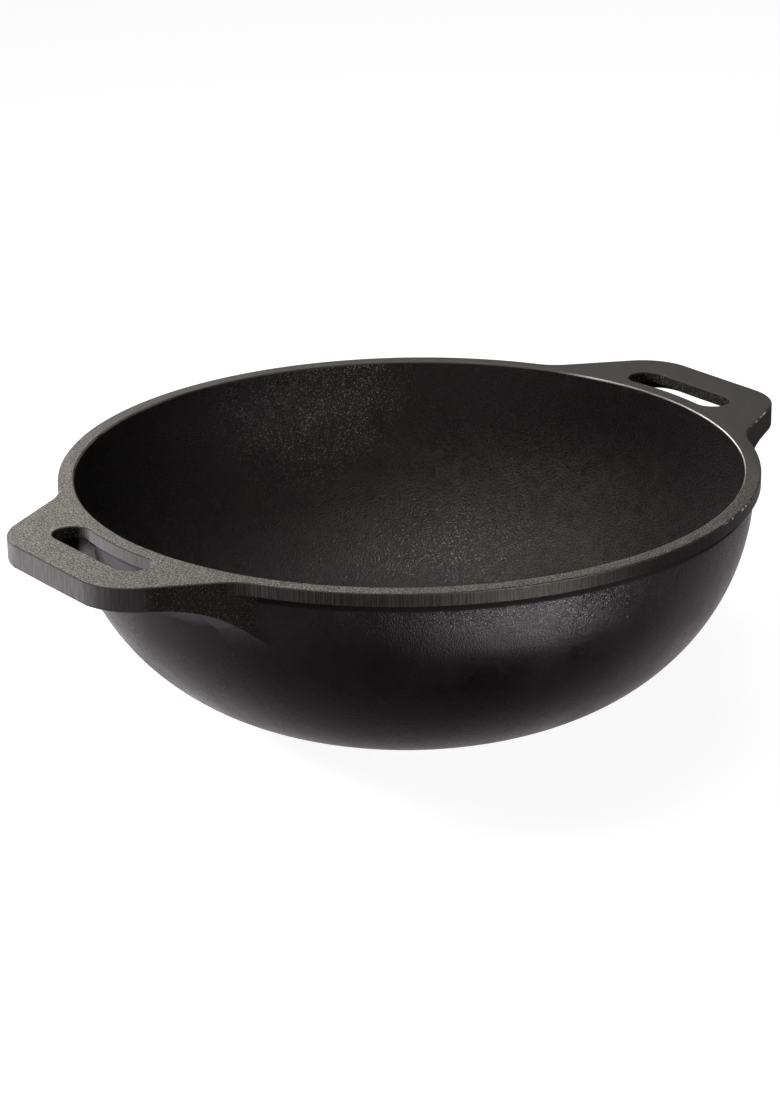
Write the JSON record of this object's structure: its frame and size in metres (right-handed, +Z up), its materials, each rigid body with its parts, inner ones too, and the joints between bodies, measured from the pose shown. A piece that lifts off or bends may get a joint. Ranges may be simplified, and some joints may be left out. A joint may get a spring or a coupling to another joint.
{
  "type": "kadai",
  "caption": "Deep round cast iron cooking bowl with a flat base, a raised rim band and a flat slotted handle on each side.",
  "frame": {"origin": "centre of the flat base, on the surface that the kadai stands on", "axes": "+Z up through the mouth of the bowl, +X from the bowl's centre out through the right handle"},
  "size_m": [0.3154, 0.26, 0.0883],
  "materials": {
    "seasoned_iron": "black seasoning over a sand-cast grain, ground flat on the rim and the handle tops"
  },
  "bodies": {
    "root": {"bowl": "seasoned_iron", "rim_band": "seasoned_iron", "left_handle": "seasoned_iron", "right_handle": "seasoned_iron"}
  },
  "joints": []
}
